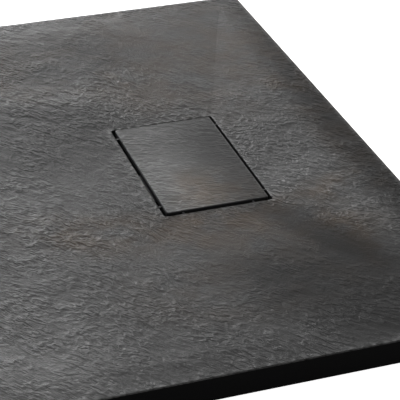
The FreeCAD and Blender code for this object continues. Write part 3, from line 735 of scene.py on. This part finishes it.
def slate_tones():
    """Colour and roughness of split slate: crests, lighter partly as painted highlight, clouds, specks,
    painted shade and painted light, earthy places, rubbed edges.
    """
    group, given, result = new_group(
        "slate_tones",
        (("Vector", VECTOR, None), ("Crest", NUMBER, 0.0), ("Cloud", NUMBER, 0.5), ("Speck", NUMBER, 0.5),
         ("Dark", NUMBER, 0.0), ("Earthy", NUMBER, 0.0), ("Edge", NUMBER, 0.0), ("Matt", NUMBER, 0.4),
         ("Hollow Colour", COLOUR, None), ("Crest Colour", COLOUR, None), ("Edge Colour", COLOUR, None)),
        (("Colour", COLOUR), ("Matt", NUMBER)),
    )
    vector = given["Vector"]
    chipped = spread(group, grained(group, vector, CHIPS), 0.3, 0.6)
    worn = calc(group, "MULTIPLY", given["Edge"], chipped)
    # crests are lighter than hollows, partly as wear and partly as painted highlight
    colour = mixed(group, given["Crest"], given["Hollow Colour"], given["Crest Colour"])
    cloud = spread(group, given["Cloud"], 0.3, 0.7, to_low=0.82, to_high=1.14)
    speck = spread(group, given["Speck"], 0.3, 0.72, to_low=0.84, to_high=1.22)
    # painted shade darkens the colour here, and painted light below zero lightens it
    shade = calc(group, "POWER", PAINTED_SHADE_SHARE, given["Dark"])
    shade = calc(group, "MULTIPLY", calc(group, "MULTIPLY", cloud, speck), shade)
    clouded = vector_calc(group, "SCALE", colour, shade)
    stain = spread(group, grained(group, vector, STAINS, 3.0, 0.6), 0.3, 0.65)
    earthy = mixed(group, calc(group, "MULTIPLY", given["Earthy"], stain), clouded, EARTH, "MULTIPLY")
    rubbed = mixed(group, calc(group, "MULTIPLY", worn, 0.7), earthy, given["Edge Colour"])
    wire(group, rubbed, result["Colour"])
    matt = total(
        group, given["Matt"], (given["Cloud"], 0.16), (given["Crest"], -0.08), (given["Dark"], PAINTED_SHADE_MATT)
    )
    wire(group, matt, result["Matt"])
    return group


def moulded_skin():
    """Fine texture, soft flow marks and light scuffs of a moulded plastic or rubber face."""
    group, given, result = new_group(
        "moulded_skin",
        (("Vector", VECTOR, None), ("Grain", NUMBER, 900.0), ("Scuffs", NUMBER, 0.3)),
        (("Shade", NUMBER), ("Matt", NUMBER), ("Height", NUMBER)),
    )
    vector = given["Vector"]
    fine = grained(group, vector, given["Grain"], 2.0, 0.6)
    flow = grained(group, vector, FLOW_MARKS, 3.0, 0.55)
    lines = add(group, "ShaderNodeMapping", vector_type="TEXTURE", Vector=vector)
    lines.inputs["Rotation"].default_value = SCRATCH_TURN
    lines.inputs["Scale"].default_value = (SCRATCH_STRETCH, 1, 1)
    scratch = spread(group, grained(group, lines.outputs[0], SCRATCHES, 3.0, 0.7), 0.60, 0.68)
    scratch = calc(group, "MULTIPLY", scratch, given["Scuffs"])
    wire(group, total(group, 0.0, (fine, 0.5), (flow, 0.5), (scratch, 0.4)), result["Shade"])
    wire(group, total(group, 0.0, (flow, 0.7), (scratch, 0.5)), result["Matt"])
    wire(group, total(group, fine, (scratch, -0.6)), result["Height"])
    return group


def brushed_lines():
    """Fine parallel lines of brushed sheet metal, with faint dried water marks."""
    group, given, result = new_group(
        "brushed_lines",
        (("Vector", VECTOR, None), ("Length", NUMBER, 40.0), ("Turn", NUMBER, 0.0)),
        (("Line", NUMBER), ("Mark", NUMBER)),
    )
    turn = add(group, "ShaderNodeVectorRotate", rotation_type="Z_AXIS")
    wire(group, given["Vector"], turn.inputs["Vector"])
    wire(group, given["Turn"], turn.inputs["Angle"])
    scale = add(group, "ShaderNodeCombineXYZ", Y=1.0, Z=1.0)
    wire(group, calc(group, "DIVIDE", 1.0, given["Length"]), scale.inputs["X"])
    drawn = vector_calc(group, "MULTIPLY", turn.outputs[0], scale.outputs[0])
    wire(group, grained(group, drawn, BRUSH_LINES, 3.0, 0.7), result["Line"])
    drops = grained(group, given["Vector"], WATER_DROPS, 2.0, 0.5)
    rim = calc(group, "ABSOLUTE", calc(group, "SUBTRACT", drops, MARK_LEVEL))
    wire(group, spread(group, rim, 0.0, MARK_WIDTH, to_low=1.0, to_high=0.0), result["Mark"])
    return group


RIPPLES = slate_ripples()
TONES = slate_tones()
SKIN = moulded_skin()
BRUSH = brushed_lines()


# --- Materials --------------------------------------------------------------------------------
SLATE_SHINE = 0.12  # specular level
SKIN_DARK, SKIN_LIGHT = 0.80, 1.15  # how far the skin's shade moves a moulded colour
METAL_DARK, METAL_LIGHT = 0.86, 1.08
LIME = (0.42, 0.41, 0.39, 1)  # dried water marks


def lightened(colour, share):
    """A colour times a share, with its alpha."""
    return (*(min(1.0, c * share) for c in colour), 1)


def slate(name, colours, turn, size, bump_depth, roughness):
    """Split slate, with the colours of its hollows, of its crests, which are lighter partly from wear and
    partly as painted highlight, and of its rubbed edges.
    """
    material, tree, shader = new_material(name)
    place = add(tree, "ShaderNodeTexCoord").outputs["Object"]
    painted = add(tree, "ShaderNodeAttribute", attribute_name=ZONES).outputs
    zones = add(tree, "ShaderNodeSeparateColor")
    tree.links.new(painted["Color"], zones.inputs[0])
    # the second zone is painted shade, and painted light below zero
    smooth, painted_shading, earthy = zones.outputs
    hollow, crest, edge = (lightened(colour, 1.0) for colour in colours)
    ripples = grouped(tree, RIPPLES, Vector=place, Size=size, Smooth=smooth, Turn=turn)
    tones = grouped(
        tree, TONES, Vector=place, Crest=ripples["Crest"], Cloud=ripples["Cloud"], Speck=ripples["Speck"],
        Dark=painted_shading, Earthy=earthy, Edge=painted["Alpha"], Matt=roughness,
        Hollow_Colour=hollow, Crest_Colour=crest, Edge_Colour=edge,
    )
    tree.links.new(tones["Colour"], shader.inputs["Base Color"])
    tree.links.new(tones["Matt"], shader.inputs["Roughness"])
    shader.inputs["Specular IOR Level"].default_value = SLATE_SHINE
    bumped(tree, shader, ripples["Height"], 1.0, bump_depth)
    return material


def moulded(name, colour, roughness, grain=900.0, level=0.5, scuffs=0.3, depth=0.00008):
    """Moulded plastic or rubber, with its specular level and the depth of its texture."""
    material, tree, shader = new_material(name)
    place = add(tree, "ShaderNodeTexCoord").outputs["Object"]
    skin = grouped(tree, SKIN, Vector=place, Grain=grain, Scuffs=scuffs)
    low, high = lightened(colour, SKIN_DARK), lightened(colour, SKIN_LIGHT)
    shaded = mixed(tree, spread(tree, skin["Shade"], 0.3, 0.75), low, high)
    tree.links.new(shaded, shader.inputs["Base Color"])
    matt = total(tree, roughness - 0.08, (skin["Matt"], 0.22))
    tree.links.new(matt, shader.inputs["Roughness"])
    shader.inputs["Specular IOR Level"].default_value = level
    bumped(tree, shader, skin["Height"], 0.8, depth)
    return material


def brushed(name, colour, roughness, length, turn):
    """Brushed metal, with the length over the width of its lines and their turn."""
    material, tree, shader = new_material(name)
    place = add(tree, "ShaderNodeTexCoord").outputs["Object"]
    lines = grouped(tree, BRUSH, Vector=place, Length=length, Turn=turn)
    metal = mixed(tree, lines["Line"], lightened(colour, METAL_DARK), lightened(colour, METAL_LIGHT))
    marked = mixed(tree, calc(tree, "MULTIPLY", lines["Mark"], 0.25), metal, LIME)
    tree.links.new(marked, shader.inputs["Base Color"])
    shader.inputs["Metallic"].default_value = 1.0
    matt = total(tree, roughness, (lines["Line"], 0.2), (lines["Mark"], 0.15))
    tree.links.new(matt, shader.inputs["Roughness"])
    bumped(tree, shader, lines["Line"], 0.5, 0.00004)
    return material


# colours of hollows, crests and rubbed edges; the crests are lighter partly from wear and partly as painted
# highlight
TRAY_COLOURS = ((0.022, 0.022, 0.022), (0.044, 0.044, 0.0442), (0.12, 0.12, 0.12))
COVER_COLOURS = ((0.044, 0.044, 0.0435), (0.072, 0.072, 0.0718), (0.15, 0.15, 0.15))
TRAY_TURN, COVER_TURN = TRAY_CLEFT["turn"], COVER_CLEFT["turn"]
for material in (
    slate("slate_face", TRAY_COLOURS, TRAY_TURN, size=0.58, bump_depth=0.0023, roughness=0.36),
    moulded("dark_side", (0.0024, 0.0024, 0.0025), 0.66, grain=500.0, level=0.02),
    moulded("raw_underside", (0.085, 0.083, 0.080), 0.75, grain=260.0, level=0.3, scuffs=0.2, depth=0.0003),
    moulded("recess_wall", (0.010, 0.010, 0.0102), 0.6, grain=420.0, level=0.15, scuffs=0.5, depth=0.0002),
):
    tray.data.materials.append(material)
for material in (
    slate("cover_slate_face", COVER_COLOURS, COVER_TURN, size=0.55, bump_depth=0.0009, roughness=0.40),
    moulded("cover_side", (0.012, 0.012, 0.0125), 0.55, grain=500.0, level=0.2),
):
    cover.data.materials.append(material)

finishes = {
    "pad_rubber": moulded("black_rubber", (0.02, 0.02, 0.02), 0.72, grain=1500.0, level=0.4),
    "seal_rubber": moulded("seal_rubber", (0.025, 0.025, 0.026), 0.6, grain=1200.0, level=0.45),
    "flange_plastic": moulded("flange_plastic", (0.42, 0.43, 0.44), 0.4),
    "trap_plastic": moulded("trap_plastic", (0.66, 0.67, 0.67), 0.42),
    "nut_plastic": moulded("nut_plastic", (0.62, 0.63, 0.63), 0.42),
    "ring_plastic": moulded("ring_plastic", (0.72, 0.72, 0.69), 0.3),
    "pipe_plastic": moulded("pipe_plastic", (0.17, 0.18, 0.19), 0.38),
    "insert_plastic": moulded("insert_plastic", (0.06, 0.15, 0.27), 0.35),
    "strainer_steel": brushed("strainer_steel", (0.50, 0.50, 0.49), 0.26, length=60.0, turn=0.3),
    "screw_steel": brushed("screw_steel", (0.42, 0.42, 0.41), 0.30, length=4.0, turn=1.2),
}
for screw in screws:
    screw.data.materials.append(finishes["screw_steel"])
for part in frame["record"]["subparts"]:
    finish = finishes.get(part.get("material_slot"))
    if finish:
        mesh = nodes[part["node"]].data
        mesh.materials.clear()
        mesh.materials.append(finish)

bpy.context.scene.view_settings.view_transform = "Standard"
